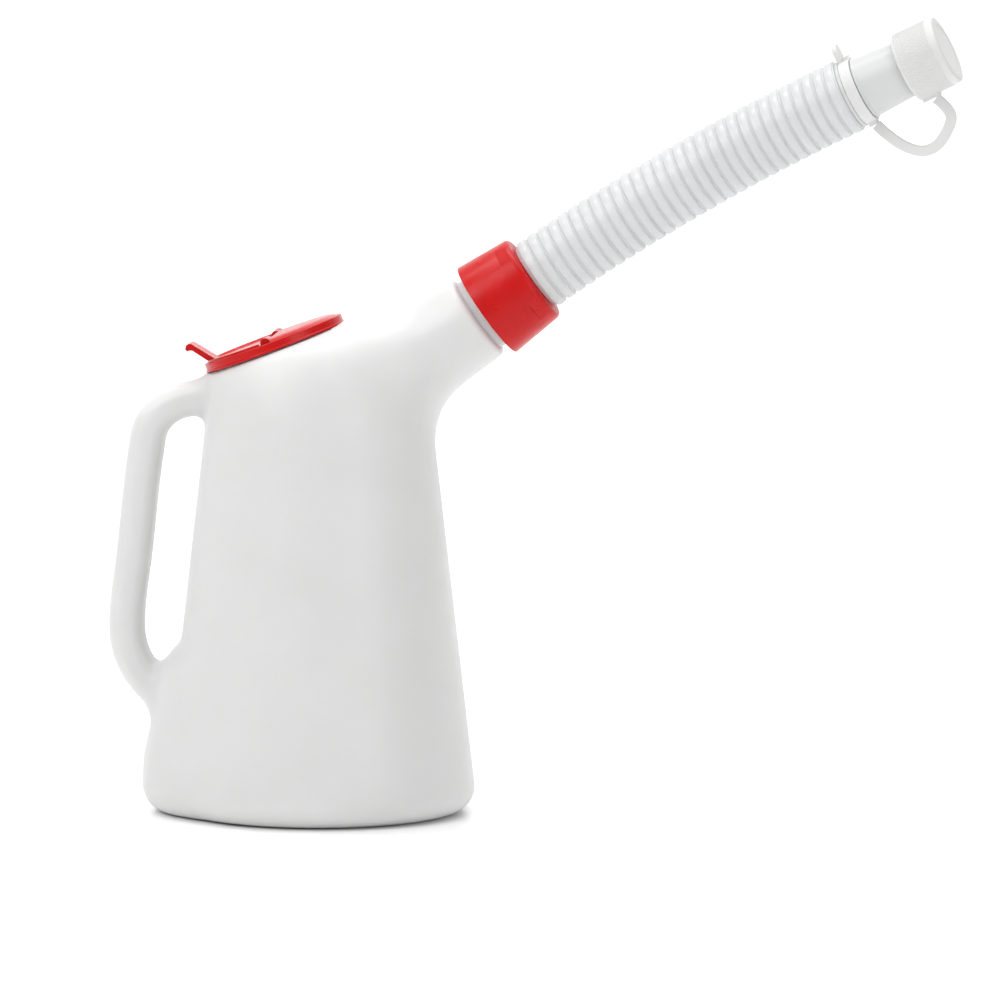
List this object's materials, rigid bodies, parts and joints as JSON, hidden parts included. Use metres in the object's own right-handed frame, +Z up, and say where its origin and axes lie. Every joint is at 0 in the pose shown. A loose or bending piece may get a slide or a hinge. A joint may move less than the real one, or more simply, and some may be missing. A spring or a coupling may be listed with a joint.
{
  "type": "oil measuring jug with flexible spout",
  "caption": "Tapered plastic measuring jug with a side handle, tilted lid with a hinged flap, and a flexible corrugated pouring spout with a screw cap on a tether.",
  "frame": {"origin": "centre of the flat base that the jug stands on", "axes": "+Z up, +X towards the spout, the handle on -X, +Y to the left of someone who holds the handle and looks along the spout"},
  "size_m": [0.43, 0.157, 0.4028],
  "materials": {
    "jug_plastic": "satin blow-moulded natural polyethylene, slightly translucent",
    "lid_plastic": "satin moulded red polypropylene",
    "nut_plastic": "semi-gloss moulded red polypropylene",
    "hose_plastic": "glossy translucent natural polyethylene",
    "tip_plastic": "satin translucent natural polyethylene",
    "cap_plastic": "matt white moulded polyethylene, finely knurled skirt",
    "seal_rubber": "matt black rubber",
    "liner_foam": "matt white foamed liner"
  },
  "bodies": {
    "jug": {"jug_body": "jug_plastic"},
    "lid": {"lid_ring": "lid_plastic"},
    "flap": {"lid_flap": "lid_plastic"},
    "spout_base": {"spout_gasket": "seal_rubber"},
    "nut": {"spout_nut": "nut_plastic"},
    "cuff": {"hose_cuff": "hose_plastic"},
    "hose_section_01": {"hose_section_01": "hose_plastic"},
    "hose_section_02": {"hose_section_02": "hose_plastic"},
    "hose_section_03": {"hose_section_03": "hose_plastic"},
    "hose_section_04": {"hose_section_04": "hose_plastic"},
    "hose_section_05": {"hose_section_05": "hose_plastic"},
    "hose_section_06": {"hose_section_06": "hose_plastic"},
    "hose_section_07": {"hose_section_07": "hose_plastic"},
    "hose_section_08": {"hose_section_08": "hose_plastic"},
    "hose_section_09": {"hose_section_09": "hose_plastic"},
    "hose_section_10": {"hose_section_10": "hose_plastic"},
    "hose_section_11": {"hose_section_11": "hose_plastic"},
    "hose_section_12": {"hose_section_12": "hose_plastic"},
    "hose_section_13": {"hose_section_13": "hose_plastic"},
    "hose_section_14": {"hose_section_14": "hose_plastic"},
    "tip": {"spout_tip": "tip_plastic"},
    "tether": {"tether_ring": "cap_plastic", "cap_tether": "cap_plastic"},
    "cap": {"spout_cap": "cap_plastic", "cap_seal": "liner_foam"}
  },
  "joints": [
    {"name": "lid_lift", "type": "slide", "parent": "jug", "child": "lid", "axis": [-0.3486, 0, 0.9373], "range_m": [0, 0.03]},
    {"name": "flap_hinge", "type": "hinge", "parent": "lid", "child": "flap", "pos_m": [-0.02361, 0, 0.23929], "axis": [0, 1, 0], "range_deg": [0, 110]},
    {"name": "spout_travel", "type": "slide", "parent": "jug", "child": "spout_base", "axis": [0.8161, 0, 0.5779], "range_m": [0, 0.0079]},
    {"name": "nut_turn", "type": "hinge", "parent": "spout_base", "child": "nut", "pos_m": [0.0963, 0, 0.26219], "axis": [0.8161, 0, 0.5779], "range_deg": [0, 720]},
    {"name": "spout_swivel", "type": "hinge", "parent": "spout_base", "child": "cuff", "pos_m": [0.10283, 0, 0.26681], "axis": [0.8161, 0, 0.5779], "range_deg": [-180, 180]},
    {"name": "hose_bend_down_1", "type": "hinge", "parent": "cuff", "child": "hose_section_01", "pos_m": [0.11002, 0, 0.27189], "axis": [0.0066, 1, 0.0047], "range_deg": [-7.5, 7.5], "stiffness_Nm_per_rad": 8},
    {"name": "hose_bend_side_1", "type": "hinge", "parent": "hose_section_01", "child": "hose_section_02", "pos_m": [0.12005, -0.0001, 0.27884], "axis": [0.5601, 0.0003, -0.8285], "range_deg": [-7.5, 7.5], "stiffness_Nm_per_rad": 8},
    {"name": "hose_bend_down_2", "type": "hinge", "parent": "hose_section_02", "child": "hose_section_03", "pos_m": [0.13015, -0.0003, 0.28567], "axis": [0.0201, 0.9997, 0.0139], "range_deg": [-7.5, 7.5], "stiffness_Nm_per_rad": 8},
    {"name": "hose_bend_side_2", "type": "hinge", "parent": "hose_section_03", "child": "hose_section_04", "pos_m": [0.14033, -0.0006, 0.29239], "axis": [0.542, 0.0009, -0.8404], "range_deg": [-7.5, 7.5], "stiffness_Nm_per_rad": 8},
    {"name": "hose_bend_down_3", "type": "hinge", "parent": "hose_section_04", "child": "hose_section_05", "pos_m": [0.15058, -0.00099, 0.299], "axis": [0.0337, 0.9992, 0.0228], "range_deg": [-7.5, 7.5], "stiffness_Nm_per_rad": 8},
    {"name": "hose_bend_side_3", "type": "hinge", "parent": "hose_section_05", "child": "hose_section_06", "pos_m": [0.16089, -0.00149, 0.30549], "axis": [0.5237, 0.0019, -0.8519], "range_deg": [-7.5, 7.5], "stiffness_Nm_per_rad": 8},
    {"name": "hose_bend_down_4", "type": "hinge", "parent": "hose_section_06", "child": "hose_section_07", "pos_m": [0.17128, -0.00209, 0.31187], "axis": [0.0475, 0.9984, 0.0314], "range_deg": [-7.5, 7.5], "stiffness_Nm_per_rad": 8},
    {"name": "hose_bend_side_4", "type": "hinge", "parent": "hose_section_07", "child": "hose_section_08", "pos_m": [0.18172, -0.00278, 0.31814], "axis": [0.5052, 0.0032, -0.863], "range_deg": [-7.5, 7.5], "stiffness_Nm_per_rad": 8},
    {"name": "hose_bend_down_5", "type": "hinge", "parent": "hose_section_08", "child": "hose_section_09", "pos_m": [0.19223, -0.00357, 0.32429], "axis": [0.0615, 0.9973, 0.0397], "range_deg": [-7.5, 7.5], "stiffness_Nm_per_rad": 8},
    {"name": "hose_bend_side_5", "type": "hinge", "parent": "hose_section_09", "child": "hose_section_10", "pos_m": [0.2028, -0.00447, 0.33032], "axis": [0.4865, 0.0048, -0.8737], "range_deg": [-7.5, 7.5], "stiffness_Nm_per_rad": 8},
    {"name": "hose_bend_down_6", "type": "hinge", "parent": "hose_section_10", "child": "hose_section_11", "pos_m": [0.21342, -0.00545, 0.33623], "axis": [0.0757, 0.996, 0.0476], "range_deg": [-7.5, 7.5], "stiffness_Nm_per_rad": 8},
    {"name": "hose_bend_side_6", "type": "hinge", "parent": "hose_section_11", "child": "hose_section_12", "pos_m": [0.2241, -0.00654, 0.34202], "axis": [0.4675, 0.0069, -0.884], "range_deg": [-7.5, 7.5], "stiffness_Nm_per_rad": 8},
    {"name": "hose_bend_down_7", "type": "hinge", "parent": "hose_section_12", "child": "hose_section_13", "pos_m": [0.23484, -0.00773, 0.34769], "axis": [0.09, 0.9944, 0.0553], "range_deg": [-7.5, 7.5], "stiffness_Nm_per_rad": 8},
    {"name": "hose_bend_side_7", "type": "hinge", "parent": "hose_section_13", "child": "hose_section_14", "pos_m": [0.24563, -0.00902, 0.35324], "axis": [0.4484, 0.0092, -0.8938], "range_deg": [-7.5, 7.5], "stiffness_Nm_per_rad": 8},
    {"name": "hose_bend_down_8", "type": "hinge", "parent": "hose_section_14", "child": "tip", "pos_m": [0.25647, -0.0104, 0.35866], "axis": [0.1044, 0.9926, 0.0626], "range_deg": [-7.5, 7.5], "stiffness_Nm_per_rad": 8},
    {"name": "cap_turn", "type": "hinge", "parent": "tip", "child": "tether", "pos_m": [0.29414, -0.01551, 0.37699], "axis": [0.8925, -0.1213, 0.4344], "range_deg": [0, 540]},
    {"name": "cap_travel", "type": "slide", "parent": "tether", "child": "cap", "axis": [0.8925, -0.1213, 0.4344], "range_m": [0, 0.0047]}
  ],
  "couplings": [
    {"joint": "nut_turn", "follows": "spout_travel", "rad_per_m": 1570.8},
    {"joint": "cap_turn", "follows": "cap_travel", "rad_per_m": 1963.5},
    {"joint": "hose_bend_down_2", "follows": "hose_bend_down_1", "ratio": 1},
    {"joint": "hose_bend_side_2", "follows": "hose_bend_side_1", "ratio": 1},
    {"joint": "hose_bend_down_3", "follows": "hose_bend_down_1", "ratio": 1},
    {"joint": "hose_bend_side_3", "follows": "hose_bend_side_1", "ratio": 1},
    {"joint": "hose_bend_down_4", "follows": "hose_bend_down_1", "ratio": 1},
    {"joint": "hose_bend_side_4", "follows": "hose_bend_side_1", "ratio": 1},
    {"joint": "hose_bend_down_5", "follows": "hose_bend_down_1", "ratio": 1},
    {"joint": "hose_bend_side_5", "follows": "hose_bend_side_1", "ratio": 1},
    {"joint": "hose_bend_down_6", "follows": "hose_bend_down_1", "ratio": 1},
    {"joint": "hose_bend_side_6", "follows": "hose_bend_side_1", "ratio": 1},
    {"joint": "hose_bend_down_7", "follows": "hose_bend_down_1", "ratio": 1},
    {"joint": "hose_bend_side_7", "follows": "hose_bend_side_1", "ratio": 1},
    {"joint": "hose_bend_down_8", "follows": "hose_bend_down_1", "ratio": 1}
  ]
}
